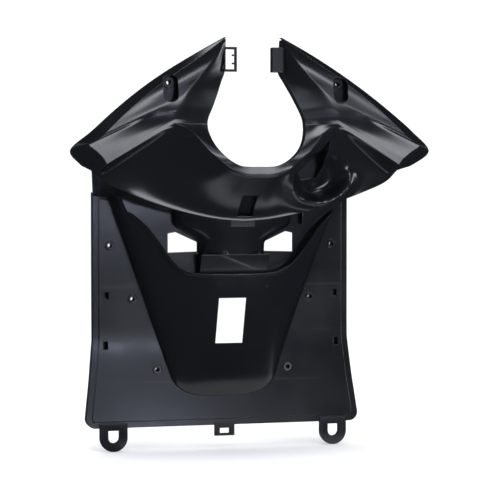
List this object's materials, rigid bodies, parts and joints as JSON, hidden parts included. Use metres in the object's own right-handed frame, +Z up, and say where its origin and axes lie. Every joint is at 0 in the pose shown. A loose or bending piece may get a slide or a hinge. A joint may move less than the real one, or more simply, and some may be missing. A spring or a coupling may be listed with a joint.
{
  "type": "scooter inner leg shield panel",
  "caption": "One-piece moulded inner leg shield for a scooter: winged cowl round an open steering hole, key bowl, pocket above a tapered tongue, screw bosses and bottom loops.",
  "frame": {"origin": "on the mid-plane, on the rider's face of the shield plane, level with the bottom edge, where the middle hook leaves it", "axes": "+X across the panel towards the key bowl's side, -Y towards the rider, +Z up"},
  "size_m": [0.448, 0.2098, 0.52],
  "materials": {
    "black_plastic": "satin black injection-moulded plastic with a fine grain"
  },
  "bodies": {
    "root": {"inner_panel": "black_plastic"}
  },
  "joints": []
}
